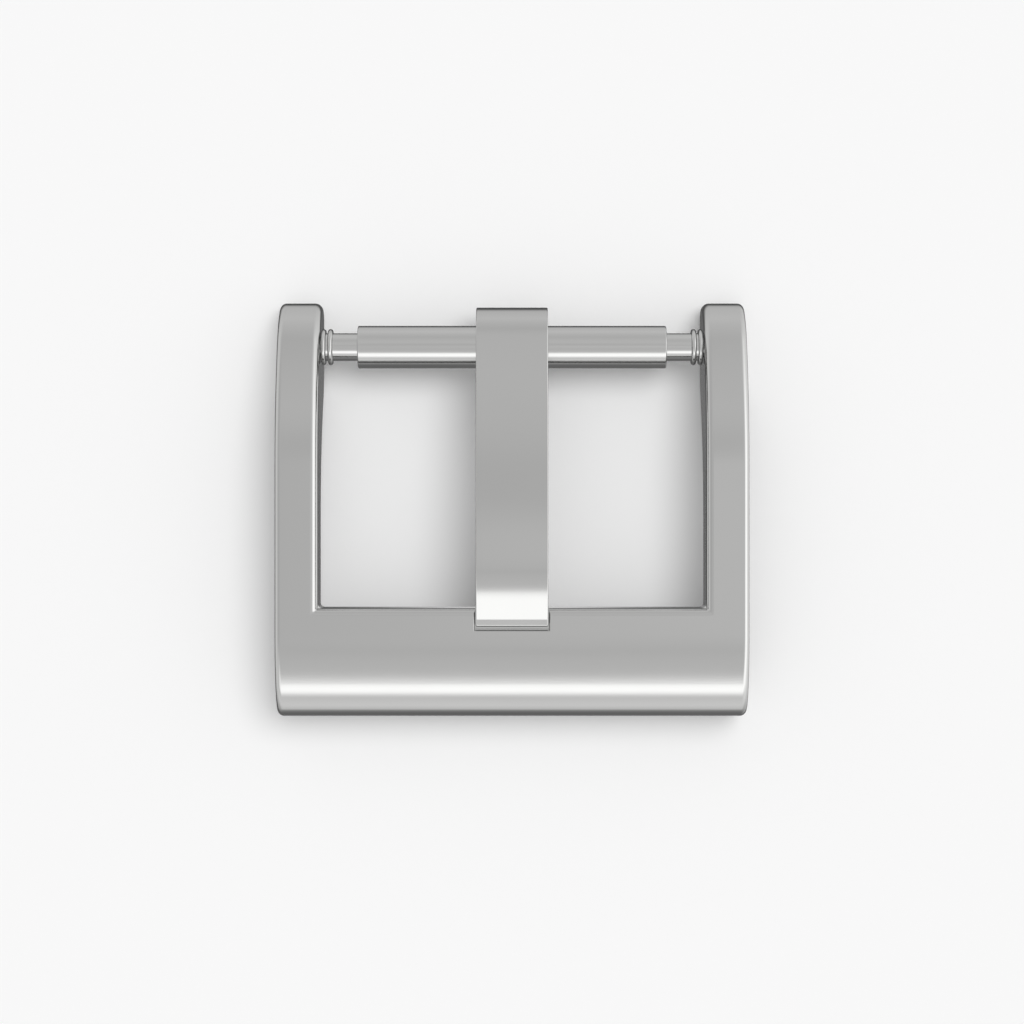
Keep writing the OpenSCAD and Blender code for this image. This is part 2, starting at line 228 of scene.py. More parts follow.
def side_view(p):
    """Where a point of the side view is in space, in the middle of the part."""
    return Vector((0, p[0], p[1]))


def deselect_everything():
    """Leaves edit mode and deselects all objects, because an operator acts on all that is selected."""
    if bpy.context.object and bpy.context.object.mode != "OBJECT":
        bpy.ops.object.mode_set(mode="OBJECT")
    bpy.ops.object.select_all(action="DESELECT")


def select_only(piece):
    deselect_everything()
    bpy.context.view_layer.objects.active = piece
    piece.select_set(True)


def settle():
    """Puts the active object's place, turn and size into its mesh."""
    bpy.ops.object.transform_apply(location=True, rotation=True, scale=True)


def apply_modifier(piece, kind, **settings):
    """Adds a modifier with its settings to the active piece and applies it."""
    bpy.ops.object.modifier_add(type=kind)
    modifier = piece.modifiers[-1]
    for key, value in settings.items():
        setattr(modifier, key, value)
    bpy.ops.object.modifier_apply(modifier=modifier.name)


def start_point(name, place):
    """A small plane drawn together into one vertex, from which an outline is drawn."""
    deselect_everything()
    bpy.ops.mesh.primitive_plane_add(size=1, location=place)
    piece = bpy.context.object
    piece.name = name
    bpy.ops.object.transform_apply(location=True, rotation=False, scale=False)
    bpy.ops.object.mode_set(mode="EDIT")
    bpy.ops.mesh.select_mode(type="VERT")
    bpy.ops.mesh.select_all(action="SELECT")
    bpy.ops.mesh.merge(type="CENTER")
    return piece


def steps_for(turn, radius):
    return max(2, math.ceil(max(abs(turn) / STEP_TURN, abs(turn) * radius / STEP_REACH)))


def draw_outline(strokes, start, place, normal):
    """Draws on from the selected vertex, which is at start. A stroke is ("line", to) or
    ("arc", centre, turn), in the two coordinates of a view. A turn is positive anticlockwise, and
    place puts a point of the view in space."""
    at = Vector(start)
    for kind, point, *rest in strokes:
        point = Vector(point)
        if kind == "line":
            bpy.ops.mesh.extrude_vertices_move(
                TRANSFORM_OT_translate={"value": place(point) - place(at)}
            )
            at = point
        else:
            turn = rest[0]
            arm = at - point
            bpy.ops.mesh.spin(
                steps=steps_for(turn, arm.length), angle=-turn, center=place(point), axis=normal
            )
            c, s = math.cos(turn), math.sin(turn)
            at = point + Vector((c * arm[0] - s * arm[1], s * arm[0] + c * arm[1]))


def extrude(x=0, y=0, z=0):
    """Extrudes what is selected this far along each axis."""
    bpy.ops.mesh.extrude_region_move(TRANSFORM_OT_translate={"value": (x, y, z)})


def pick(piece, kind, wanted):
    """Selects the vertices, edges or faces of a piece in edit mode for which wanted(element) holds."""
    bpy.ops.mesh.select_mode(type=kind)
    bpy.ops.mesh.select_all(action="DESELECT")
    mesh = bmesh.from_edit_mesh(piece.data)
    elements = {"VERT": mesh.verts, "EDGE": mesh.edges, "FACE": mesh.faces}[kind]
    found = [element for element in elements if wanted(element)]
    if not found:
        raise RuntimeError(f"{piece.name}: nothing was found where an edge or face should be")
    for element in found:
        element.select_set(True)
    mesh.select_flush_mode()
    bmesh.update_edit_mesh(piece.data)


def near(a, b):
    return abs(a - b) < SAME_PLACE


def in_plane(axis, value):
    """A test for edges that lie in the plane at value across the axis."""
    return lambda e: all(near(v.co[axis], value) for v in e.verts)


def rim_places(edge, radius, steps):
    """Places along the frame of the steps of a round rim that ends at edge, from the edge on."""
    return [edge - radius * (1 - math.cos(QUARTER * i / steps)) for i in range(steps + 1)]


def merge_doubles():
    """Selects the whole mesh and merges what lies on top of each other."""
    bpy.ops.mesh.select_all(action="SELECT")
    bpy.ops.mesh.remove_doubles(threshold=DOUBLES)


def close_mesh():
    """Merges doubles, points all faces outwards and leaves edit mode."""
    bpy.ops.mesh.select_mode(type="VERT")
    merge_doubles()
    bpy.ops.mesh.normals_make_consistent(inside=False)
    bpy.ops.object.mode_set(mode="OBJECT")


def cut(piece, tool):
    """Takes the tool's shape out of the piece and removes the tool."""
    select_only(piece)
    apply_modifier(piece, "BOOLEAN", operation="DIFFERENCE", solver="EXACT", object=tool)
    bpy.data.objects.remove(tool)


def finish_piece(piece, material, body, slot, *nodes):
    """Smooths a drawn piece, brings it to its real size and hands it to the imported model's body."""
    select_only(piece)
    bpy.ops.object.shade_smooth_by_angle(angle=SHARP_EDGE)
    apply_modifier(piece, "WEIGHTED_NORMAL", keep_sharp=True)
    bpy.ops.transform.resize(value=(MM, MM, MM), center_override=(0, 0, 0))
    settle()
    piece.data.materials.clear()
    piece.data.materials.append(material)
    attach(piece, body)
    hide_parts(*nodes)


# Materials

# Roughness of the clearest and of the haziest places, by how the surface was made
POLISHED = (0.1, 0.13)
TURNED = (0.12, 0.15)
DRAWN = (0.3, 0.4)

# How wide the haze's patches are, and how deep the hairlines and how much of it shows
HAZE = 1.6
HAIRLINE_DEPTH = 0.01
HAIRLINE_STRENGTH = 0.06

# Noise seldom leaves this range, which the roughness is spread over
NOISE_LOW, NOISE_HIGH = 0.3, 0.7

# Hairlines are this much as wide as they are long. Each name says which way they run.
SLENDER = 0.06
ALONG_BAR = (SLENDER, 1, 1)
ALONG_STRIP = (1, SLENDER, 1)
ROUND_BAR = (1, SLENDER, SLENDER)


def linear(code):
    """An sRGB hex colour as the linear values that shaders take."""
    parts = [int(code[i : i + 2], 16) / 255 for i in (1, 3, 5)]
    return tuple(c / 12.92 if c <= 0.04045 else ((c + 0.055) / 1.055) ** 2.4 for c in parts) + (1,)


def add_node(tree, kind, inputs=None, **settings):
    """Adds a node with its settings. Each of its inputs, by name or number, takes a value or is linked
    to a socket or to another node's first output."""
    made = tree.nodes.new(kind)
    for key, value in settings.items():
        setattr(made, key, value)
    for key, value in (inputs or {}).items():
        source = value.outputs[0] if isinstance(value, bpy.types.Node) else value
        if isinstance(source, bpy.types.NodeSocket):
            tree.links.new(source, made.inputs[key])
        else:
            made.inputs[key].default_value = source
    return made


def satin_steel(name, code, roughness, stroke, hairline=0.05):
    """Polished stainless steel. Metal, so its colour is in its reflections. Polishing with a soft wheel
    leaves a faint haze, a millimetre or two across, which blurs the highlights a little more in places,
    and hairlines along the stroke, which are far under a pixel and are drawn just coarse enough to show."""
    material = bpy.data.materials.new(name)
    material.use_nodes = True
    tree = material.node_tree
    tree.nodes.clear()
    place = add_node(tree, "ShaderNodeTexCoord").outputs["Object"]
    haze = add_node(
        tree,
        "ShaderNodeTexNoise",
        {"Vector": place, "Scale": 1 / (HAZE * MM), "Detail": 3.0, "Roughness": 0.5},
    )
    blur = add_node(
        tree,
        "ShaderNodeMapRange",
        {
            "Value": haze,
            "From Min": NOISE_LOW,
            "From Max": NOISE_HIGH,
            "To Min": roughness[0],
            "To Max": roughness[1],
        },
    )
    stretched = add_node(tree, "ShaderNodeMapping", {"Vector": place, "Scale": stroke})
    lines = add_node(
        tree,
        "ShaderNodeTexNoise",
        {"Vector": stretched, "Scale": 1 / (hairline * MM), "Detail": 2.0, "Roughness": 0.6},
    )
    relief = add_node(
        tree,
        "ShaderNodeBump",
        {"Height": lines, "Strength": HAIRLINE_STRENGTH, "Distance": HAIRLINE_DEPTH * MM},
    )
    shader = add_node(
        tree,
        "ShaderNodeBsdfPrincipled",
        {"Base Color": linear(code), "Metallic": 1.0, "Roughness": blur, "Normal": relief},
    )
    add_node(tree, "ShaderNodeOutputMaterial", {"Surface": shader})
    return material


# The frame


def work_out_frame(s):
    """Adds what follows from the frame's sizes: places along it, and its arcs' centres and tilts."""
    s.half_w = s.strap_w / 2
    s.side_x = s.half_w + s.arm_w
    s.back_y = s.frame_l / 2
    s.front_y = -s.back_y
    s.window_y = s.front_y + s.bar_l
    s.arch_h = s.frame_h - s.bar_t

    # The front curve: three arcs, each carrying on from the one before
    s.middle_c = Vector((s.front_y + s.nose_r, s.frame_h - s.gentle_r))
    s.middle_c.x += (s.middle_r - s.nose_r) * math.sin(s.middle_tilt)
    s.gentle_c = s.middle_c + Vector(((s.gentle_r - s.middle_r) * math.sin(s.gentle_tilt), 0))
    s.middle_c.y += (s.gentle_r - s.middle_r) * math.cos(s.gentle_tilt)
    s.nose_c = s.middle_c + (s.middle_r - s.nose_r) * way(-s.middle_tilt)

    # The top falls in one long arc to the shoulder, and the shoulder meets the rounded end
    s.fall_y = s.back_y - s.fall_l
    s.end_c = Vector((s.back_y - s.end_r, s.foot_r + s.end_upright))
    s.shoulder_c = s.end_c - (s.shoulder_r - s.end_r) * way(s.shoulder_tilt)
    drop, run = s.frame_h - s.shoulder_c.y, s.shoulder_c.x - s.fall_y
    fall_r = (run * run + drop * drop - s.shoulder_r**2) / (2 * (drop - s.shoulder_r))
    s.fall_c = Vector((s.fall_y, s.frame_h - fall_r))
    s.fall_tilt = math.asin(run / (fall_r - s.shoulder_r))

    # Underneath, each hollow meets the round that stands on the surface
    s.lip_front = Vector((s.front_y + s.lip_r, s.lip_r))
    s.lip_back = s.lip_front + Vector((s.lip_l, 0))
    s.foot_c = Vector((s.back_y - s.foot_r, s.foot_r))
    s.knee_c = Vector((s.back_y - s.arm_foot_l, s.knee_r))
    lip_reach, knee_reach = (
        math.sqrt(2 * r * s.arch_h - s.arch_h**2) for r in (s.lip_r + s.hollow_r, s.knee_r + s.arch_r)
    )
    s.hollow_c = Vector((s.lip_back.x + lip_reach, s.arch_h - s.hollow_r))
    s.hollow_tilt = math.atan2(lip_reach, s.lip_r - s.hollow_c.y)
    s.arch_c = Vector((s.knee_c.x - knee_reach, s.arch_h - s.arch_r))
    s.arch_tilt = math.asin(knee_reach / (s.knee_r + s.arch_r))


def draw_frame_side(s):
    """Draws the side view in the plane of an arm's inner wall. The flat top and the underside have a
    vertex for each step of the window's rounded rim."""
    rim_top = rim_places(s.window_y, s.edge_in_r, EDGE_STEPS)
    rim_under = rim_places(s.window_y, s.edge_under, UNDER_EDGE_STEPS)
    start = (s.fall_y, s.frame_h)
    piece = start_point("buckle_frame", side_view(start) + Vector((s.half_w, 0, 0)))
    draw_outline(
        [
            *(("line", (y, s.frame_h)) for y in rim_top),
            ("line", (s.gentle_c.x, s.frame_h)),
            ("arc", s.gentle_c, s.gentle_tilt),
            ("arc", s.middle_c, s.middle_tilt - s.gentle_tilt),
            ("arc", s.nose_c, QUARTER - s.middle_tilt),
            ("line", (s.front_y, s.lip_r)),
            ("arc", s.lip_front, QUARTER),
            ("line", (s.lip_back.x, 0)),
            ("arc", s.lip_back, s.hollow_tilt),
            ("arc", s.hollow_c, -s.hollow_tilt),
            *(("line", (y, s.arch_h)) for y in reversed(rim_under)),
            ("line", (s.arch_c.x, s.arch_h)),
            ("arc", s.arch_c, -s.arch_tilt),
            ("arc", s.knee_c, s.arch_tilt),
            ("line", (s.foot_c.x, 0)),
            ("arc", s.foot_c, QUARTER),
            ("line", (s.back_y, s.end_c.y)),
            ("arc", s.end_c, QUARTER - s.shoulder_tilt),
            ("arc", s.shoulder_c, s.shoulder_tilt - s.fall_tilt),
            ("arc", s.fall_c, s.fall_tilt),
        ],
        start,
        side_view,
        AXIS_X,
    )
    merge_doubles()
    return piece


def pull_out_arm(piece, s):
    """Pulls the outline out ring by ring across an arm, close together where the edges are round."""
    turns = [QUARTER * i / EDGE_STEPS for i in range(EDGE_STEPS + 1)]
    rings = [s.half_w + s.edge_in_r * (1 - math.cos(t)) for t in turns]
    rings += [s.side_x - s.edge_out_r * (1 - math.sin(t)) for t in turns]
    for before, after in zip(rings, rings[1:]):
        pick(piece, "EDGE", in_plane(0, before))
        extrude(x=after - before)
    bpy.ops.mesh.select_all(action="SELECT")
    bpy.ops.mesh.normals_make_consistent(inside=False)


def round_arm(piece, s):
    """Draws each ring in. On top the edges are fully round, under the arms they are only broken, and
    round the arms' ends and the lip the one runs into the other. A bevel can't fade like that."""

    def on_underside(place):
        along = s.lip_front.x - SAME_PLACE < place.y < s.foot_c.x + SAME_PLACE
        return along and place.z < s.arch_h + SAME_PLACE

    def roundness(place, least):
        """1 on top, least on the underside, and in between round the two lowest arcs"""
        if s.foot_c.x < place.y and place.z < s.foot_c.y:
            turned = math.atan2(place.y - s.foot_c.x, s.foot_c.y - place.z)
        elif place.y < s.lip_front.x and place.z < s.lip_front.y:
            turned = math.atan2(s.lip_front.x - place.y, s.lip_front.y - place.z)
        else:
            turned = 0 if on_underside(place) else QUARTER
        return least + (1 - least) * turned / QUARTER

    def rounded(width, radius):
        """How deep a round edge cuts at a distance from the face that it starts from"""
        width = min(max(width, 0), radius)
        return radius - math.sqrt(radius**2 - width**2)

    mesh = bmesh.from_edit_mesh(piece.data)
    mesh.normal_update()
    moves = []
    for v in mesh.verts:
        if v.co.x < s.half_w + s.arm_w / 2:
            along_arm = rounded(s.half_w + s.edge_in_r - v.co.x, s.edge_in_r)
            along_arm *= roundness(v.co, s.edge_under / s.edge_in_r)
            rim_r = s.edge_under if on_underside(v.co) else s.edge_in_r
            along_bar = rounded(v.co.y - s.window_y + rim_r, rim_r)
            depth = min(along_arm, along_bar)
        else:
            depth = rounded(v.co.x - s.side_x + s.edge_out_r, s.edge_out_r)
            depth *= roundness(v.co, s.edge_under / s.edge_out_r)
        inward = -Vector((0, v.normal.y, v.normal.z)).normalized()
        moves.append((v, depth * inward))
    for v, move in moves:
        v.co += move
    bmesh.update_edit_mesh(piece.data)


def close_frame(piece, s):
    """Runs the front bar on to the middle, closes the walls, fillets the corner and mirrors the half."""
    inner_wall = in_plane(0, s.half_w)
    pick(piece, "EDGE", lambda e: inner_wall(e) and all(v.co.y < s.window_y + SAME_PLACE for v in e.verts))
    extrude(x=-s.half_w)
    pick(piece, "VERT", lambda v: near(v.co.y, s.window_y) and v.co.x < s.half_w + SAME_PLACE)
    bpy.ops.mesh.edge_face_add()
    for wall in (inner_wall, in_plane(0, s.side_x)):
        pick(piece, "EDGE", lambda e: e.is_boundary and wall(e))
        bpy.ops.mesh.edge_face_add()
    pick(piece, "EDGE", lambda e: inner_wall(e) and in_plane(1, s.window_y)(e))
    bpy.ops.mesh.bevel(offset=s.corner_r, segments=CORNER_STEPS, profile=0.5, clamp_overlap=False)
    close_mesh()
    apply_modifier(piece, "MIRROR", use_axis=(True, False, False), merge_threshold=DOUBLES)


def cut_notch(piece, s):
    """Cuts the notch with a block that flares at the top, so that it rounds the upper edges too."""
    flare = [math.radians(t) for t in range(0, 90, FLARE_STEP)]
    wall_h = s.frame_h - s.notch_floor - s.notch_edge * math.sin(flare[-1]) + FLARE_OVER
    deselect_everything()
    bpy.ops.mesh.primitive_cube_add(size=1)
    tool = bpy.context.object
    tool.dimensions = (s.notch_w, 2 * s.notch_l, wall_h)
    tool.location = (0, s.window_y, s.notch_floor + wall_h / 2)
    settle()
    bpy.ops.object.mode_set(mode="EDIT")
    pick(tool, "FACE", lambda f: f.normal.z > 0.5)
    for before, after in zip(flare, flare[1:]):
        rise = s.notch_edge * (math.sin(after) - math.sin(before))
        wider, wide = (1 - math.cos(after)) * s.notch_edge, (1 - math.cos(before)) * s.notch_edge
        growth = [(side + wider) / (side + wide) for side in (s.notch_w / 2, s.notch_l)]
        extrude(z=rise)
        bpy.ops.transform.resize(value=(*growth, 1), center_override=(0, s.window_y, 0))
    extrude(z=s.frame_h)
    cut(piece, tool)


def cut_bores(piece, s, bar):
    """Cuts the blind holes for the bar's tips with one round tool that reaches across the gap."""
    deselect_everything()
    bpy.ops.mesh.primitive_cylinder_add(
        vertices=BORE_STEPS,
        radius=s.bore_d / 2,
        depth=2 * (s.half_w + s.bore_l),
        location=(0, bar.pivot_y, bar.pivot_z),
        rotation=(0, QUARTER, 0),
    )
    tool = bpy.context.object
    settle()
    cut(piece, tool)
    bpy.ops.object.mode_set(mode="EDIT")
    close_mesh()


class BUCKLE_OT_frame(Operator):
    """Draws the frame's side view, extrudes it into arms and front bar and rounds its edges"""

    bl_idname = "buckle.frame"
    bl_label = "Frame"

    def execute(self, context):
        s = in_millimetres(context.scene.buckle_frame)
        work_out_frame(s)
        piece = draw_frame_side(s)
        pull_out_arm(piece, s)
        round_arm(piece, s)
        close_frame(piece, s)
        cut_notch(piece, s)
        cut_bores(piece, s, in_millimetres(context.scene.buckle_bar))
        colour = context.scene.buckle_looks.frame_steel
        steel = satin_steel("satin-polished cast stainless steel", colour, POLISHED, ALONG_BAR)
        finish_piece(piece, steel, "frame", "frame_steel", "frame")
        return {"FINISHED"}


# The tongue


class BUCKLE_OT_tongue(Operator):
    """Draws the strip's side view round the eye, along the back and down to the tip, and widens it"""

    bl_idname = "buckle.tongue"
    bl_label = "Tongue"

    def execute(self, context):
        s = in_millimetres(context.scene.buckle_tongue)
        bar = in_millimetres(context.scene.buckle_bar)
        eye_c = Vector((bar.pivot_y, bar.pivot_z))
        roll_r = s.eye_r + s.thickness
        back_r = roll_r + (eye_c.x - s.crest_y) / math.sin(s.eye_tilt)
        back_c = eye_c - (back_r - roll_r) * way(s.eye_tilt)
        bend_c = back_c + Vector((0, back_r - s.bend_r))
        rolled = 2 * math.pi - s.eye_open - s.eye_tilt

        # The strip runs on straight from the bend, and at the tip its upper face is a little flatter
        up, forward = way(-s.tip_tilt), way(-s.tip_tilt - QUARTER)
        flat_up, flat_forward = way(-s.flat_tilt), way(-s.flat_tilt - QUARTER)
        tip_start = bend_c + s.bend_r * up + s.tip_l * forward
        hollow_c = tip_start + s.flat_r * up
        flat_end = hollow_c - s.flat_r * flat_up + s.flat_l * flat_forward
        nose_c = flat_end - s.nose_r * flat_up
        under = bend_c + (s.bend_r - s.thickness) * up
        tip_end = under + (nose_c + s.nose_r * forward - under).dot(forward) * forward

        start = eye_c + roll_r * way(-s.eye_open)
        piece = start_point("buckle_tongue", side_view(start) - Vector((s.width / 2, 0, 0)))
        draw_outline(
            [
                ("arc", eye_c, rolled),
                ("arc", back_c, s.eye_tilt),
                ("arc", bend_c, s.tip_tilt),
                ("line", tip_start),
                ("arc", hollow_c, s.flat_tilt - s.tip_tilt),
                ("line", flat_end),
                ("arc", nose_c, QUARTER + s.tip_tilt - s.flat_tilt),
                ("line", tip_end),
                ("line", under),
                ("arc", bend_c, -s.tip_tilt),
                ("arc", back_c, -s.eye_tilt),
                ("arc", eye_c, -rolled),
                ("line", start),
            ],
            start,
            side_view,
            AXIS_X,
        )
        merge_doubles()
        bpy.ops.mesh.edge_face_add()
        extrude(x=s.width)
        close_mesh()
        bpy.ops.object.mode_set(mode="EDIT")
        pick(piece, "EDGE", lambda e: len(e.link_faces) == 2 and e.calc_face_angle() > STRIP_EDGE)
        bpy.ops.mesh.bevel(
            offset=s.edge_r, segments=STRIP_EDGE_STEPS, profile=0.5, clamp_overlap=False
        )
        close_mesh()

        colour = context.scene.buckle_looks.tongue_steel
        steel = satin_steel("satin-polished stainless strip", colour, POLISHED, ALONG_STRIP)
        finish_piece(piece, steel, "tongue", "tongue_steel", "tongue")
        return {"FINISHED"}


# The spring bar


def turn_on_lathe(name, start, strokes, pivot):
    """Draws half an outline, as place along the bar and radius, and turns it round the bar's axis."""

    def lathe_view(p):
        return Vector((p[0], pivot[0], pivot[1] + p[1]))

    piece = start_point(name, lathe_view(start))
    draw_outline(strokes, start, lathe_view, (0, -1, 0))
    merge_doubles()
    bpy.ops.mesh.spin(steps=LATHE_STEPS, angle=2 * math.pi, center=(0, *pivot), axis=AXIS_X)
    close_mesh()
    return piece


class BUCKLE_OT_tube(Operator):
    """Turns the bar's tube with its rounded ends and turned-in mouths"""

    bl_idname = "buckle.tube"
    bl_label = "Tube"

    def execute(self, context):
        s = in_millimetres(context.scene.buckle_bar)
        outer, bore, mouth = s.tube_d / 2, s.bore_d / 2, s.mouth_d / 2
        end, edge = s.tube_end, s.tube_edge
        piece = turn_on_lathe(
            "bar_tube",
            (-end, mouth),
            [
                ("line", (-end, outer - edge)),
                ("arc", (-end + edge, outer - edge), -QUARTER),
                ("line", (end - edge, outer)),
                ("arc", (end - edge, outer - edge), -QUARTER),
                ("line", (end, mouth)),
                ("line", (end - s.mouth_l, mouth)),
                ("line", (end - s.mouth_l, bore)),
                ("line", (-end + s.mouth_l, bore)),
                ("line", (-end + s.mouth_l, mouth)),
                ("line", (-end, mouth)),
            ],
            (s.pivot_y, s.pivot_z),
        )
        colour = context.scene.buckle_looks.bar_steel
        steel = satin_steel("turned and polished stainless tube", colour, TURNED, ROUND_BAR)
        finish_piece(piece, steel, "bar", "bar_steel", "tube")
        return {"FINISHED"}


class BUCKLE_OT_plungers(Operator):
    """Turns one double-flanged plunger and copies it for the other end"""

    bl_idname = "buckle.plungers"
    bl_label = "Plungers"

    def execute(self, context):
        s = in_millimetres(context.scene.buckle_bar)
        head, shank, tip, flange = s.head_d / 2, s.shank_d / 2, s.tip_d / 2, s.flange_d / 2
        rim_in, rim_out = (s.groove_in - s.flange_in) / 2, (s.flange_out - s.groove_out) / 2
        right = turn_on_lathe(
            "plunger_body_right",
            (s.head_in, 0),
            [
                ("line", (s.head_in, head)),
                ("line", (s.head_out, head)),
                ("line", (s.head_out, shank)),
                ("line", (s.flange_in, shank)),
                ("line", (s.flange_in, flange - rim_in)),
                ("arc", (s.flange_in + rim_in, flange - rim_in), -math.pi),
                ("line", (s.groove_in, shank)),
                ("line", (s.groove_out, shank)),
                ("line", (s.groove_out, flange - rim_out)),
                ("arc", (s.groove_out + rim_out, flange - rim_out), -math.pi),
                ("line", (s.flange_out, tip)),
                ("line", (s.tip_end - s.tip_chamfer, tip)),
                ("line", (s.tip_end, tip - s.tip_chamfer)),
                ("line", (s.tip_end, 0)),
            ],
            (s.pivot_y, s.pivot_z),
        )
        select_only(right)
        bpy.ops.object.duplicate()
        left = context.object
        left.name = "plunger_body_left"
        bpy.ops.transform.rotate(
            value=math.pi, orient_axis="Z", center_override=(0, s.pivot_y, s.pivot_z)
        )
        settle()
        colour = context.scene.buckle_looks.bar_steel
        steel = satin_steel("turned and polished stainless pin", colour, TURNED, ROUND_BAR)
        finish_piece(left, steel, "plunger_left", "bar_steel", "plunger_left")
        finish_piece(right, steel, "plunger_right", "bar_steel", "plunger_right")
        return {"FINISHED"}


class BUCKLE_OT_spring(Operator):
    """Winds the spring as two halves that meet in the middle"""

    bl_idname = "buckle.spring"
    bl_label = "Spring"

    def execute(self, context):
        s = in_millimetres(context.scene.buckle_bar)
        colour = context.scene.buckle_looks.wire_steel
        steel = satin_steel("drawn spring wire", colour, DRAWN, ALONG_BAR, hairline=0.03)
        steps = int(s.half_turns * STEPS_A_TURN)
        for side, name in ((-1, "left"), (1, "right")):
            # A ring of the wire's size is wound round the bar's axis
            deselect_everything()
            bpy.ops.mesh.primitive_circle_add(
                vertices=WIRE_STEPS,
                radius=s.wire_d / 2,
                location=(0, s.pivot_y, s.pivot_z + s.coil_r),
                rotation=(QUARTER, 0, 0),
            )
            piece = context.object
            piece.name = "spring_coil_" + name
            bpy.ops.object.transform_apply(location=False, rotation=True, scale=False)
            context.scene.cursor.location = (0, s.pivot_y, s.pivot_z)
            bpy.ops.object.origin_set(type="ORIGIN_CURSOR")
            apply_modifier(
                piece,
                "SCREW",
                axis="X",
                angle=side * s.half_turns * 2 * math.pi,
                screw_offset=side * s.coil_half,
                steps=steps,
                render_steps=steps,
            )
            settle()

            # The outer end reaches the plunger's head, and both ends are closed
            bpy.ops.object.mode_set(mode="EDIT")
            pick(piece, "EDGE", lambda e: e.is_boundary and abs(sum(v.co.x for v in e.verts)) > s.coil_half)
            extrude(x=side * s.wire_d / 2)
            bpy.ops.mesh.edge_face_add()
            pick(piece, "EDGE", lambda e: e.is_boundary)
            bpy.ops.mesh.edge_face_add()
            close_mesh()
            finish_piece(piece, steel, "bar", "spring_wire", "spring")
            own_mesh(piece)
        return {"FINISHED"}


# The stage

# The camera looks straight down. Its height and the floor are in metres, its lens in millimetres.
CAMERA_PLACE = (0, -0.00017, 0.1162)
CAMERA_LENS = 85.2
CAMERA_FILM = 36
CAMERA_SEES = (0.005, 20)
FLOOR_SIDE = 4
FLOOR_DROP = 0.02 * MM

# The floor's lamps: how high they stand, which way from +X and how wide they look, in degrees, and
# their strength
LAMPS = {
    "soft high light": (68, 45, 35, 1.16),
    "wide light overhead": (90, 0, 160, 2.07),
}

# What the steel mirrors, as brightness at angles from straight up to straight down: a strip light in
# front, a softbox on the right, pale walls, and a dark table with a little light under the buckle
SURROUNDINGS = {
    "back": (
        (0, 1.0), (3, 1.0), (5, 0.93), (7.5, 0.87), (12, 0.88), (17, 0.95), (24, 0.98), (34, 0.95),
        (52, 0.88), (68, 0.95), (88, 1.06), (108, 0.98), (122, 0.9), (130, 0.7), (136, 0.35),
        (144, 0.1), (160, 0.15), (175.2, 0.18), (175.8, 0.75), (180, 0.75),
    ),
    "front": (
        (0, 1.0), (4, 0.97), (9, 0.96), (14.4, 0.91), (18.5, 0.955), (28, 1.0), (31, 1.08), (34, 1.3),
        (37, 1.85), (41, 2.15), (49, 2.3), (54, 2.15), (57, 1.8), (61, 1.38), (65, 1.14), (84, 1.28),
        (92, 1.06), (100, 0.59), (110, 0.35), (124, 0.23), (175.7, 0.2), (176.3, 0.7), (180, 0.75),
    ),
    "right": (
        (0, 1.0), (5, 1.04), (18, 1.0), (30, 1.1), (38, 1.6), (46, 2.2), (64, 2.3), (73, 1.85),
        (84, 1.55), (112, 1.35), (126, 1.25), (136, 1.1), (142, 0.35), (150, 0.14), (177, 0.13),
        (177.6, 0.7), (180, 0.75),
    ),
    "left": (
        (0, 1.0), (4, 0.93), (6, 0.92), (24, 0.9), (41, 0.8), (55, 0.86), (75, 1.19), (98, 1.15),
        (112, 1.1), (118, 0.95), (123, 0.4), (130, 0.2), (150, 0.13), (177, 0.12), (177.6, 0.7),
        (180, 0.75),
    ),
}

# Numbers of a Mix node's colour sockets
MIX_A, MIX_B, MIX_RESULT = 6, 7, 2


def lay_floor(colour):
    """A matt pale sheet just under the part, which doesn't show in the steel."""
    deselect_everything()
    bpy.ops.mesh.primitive_plane_add(size=FLOOR_SIDE, location=(0, 0, -FLOOR_DROP))
    floor = bpy.context.object
    floor.name = "floor"
    paint = bpy.data.materials.new("matt pale paper")
    paint.use_nodes = True
    paint.node_tree.nodes.clear()
    matt = add_node(paint.node_tree, "ShaderNodeBsdfDiffuse", {"Color": linear(colour)})
    add_node(paint.node_tree, "ShaderNodeOutputMaterial", {"Surface": matt})
    floor.data.materials.append(paint)
    floor.visible_glossy = False


def light_floor():
    """A soft high lamp from the back right and a wide dim one overhead. The steel doesn't mirror them."""
    for name, (elevation, azimuth, width, strength) in LAMPS.items():
        deselect_everything()
        bpy.ops.object.light_add(type="SUN", location=(0, 0, 1))
        lamp = bpy.context.object
        lamp.name = name
        height, heading = math.radians(elevation), math.radians(azimuth)
        towards = Vector(
            (
                math.cos(height) * math.cos(heading),
                math.cos(height) * math.sin(heading),
                math.sin(height),
            )
        )
        lamp.rotation_euler = towards.to_track_quat("Z", "Y").to_euler()
        lamp.data.angle = math.radians(width)
        lamp.data.energy = strength
        lamp.visible_glossy = False


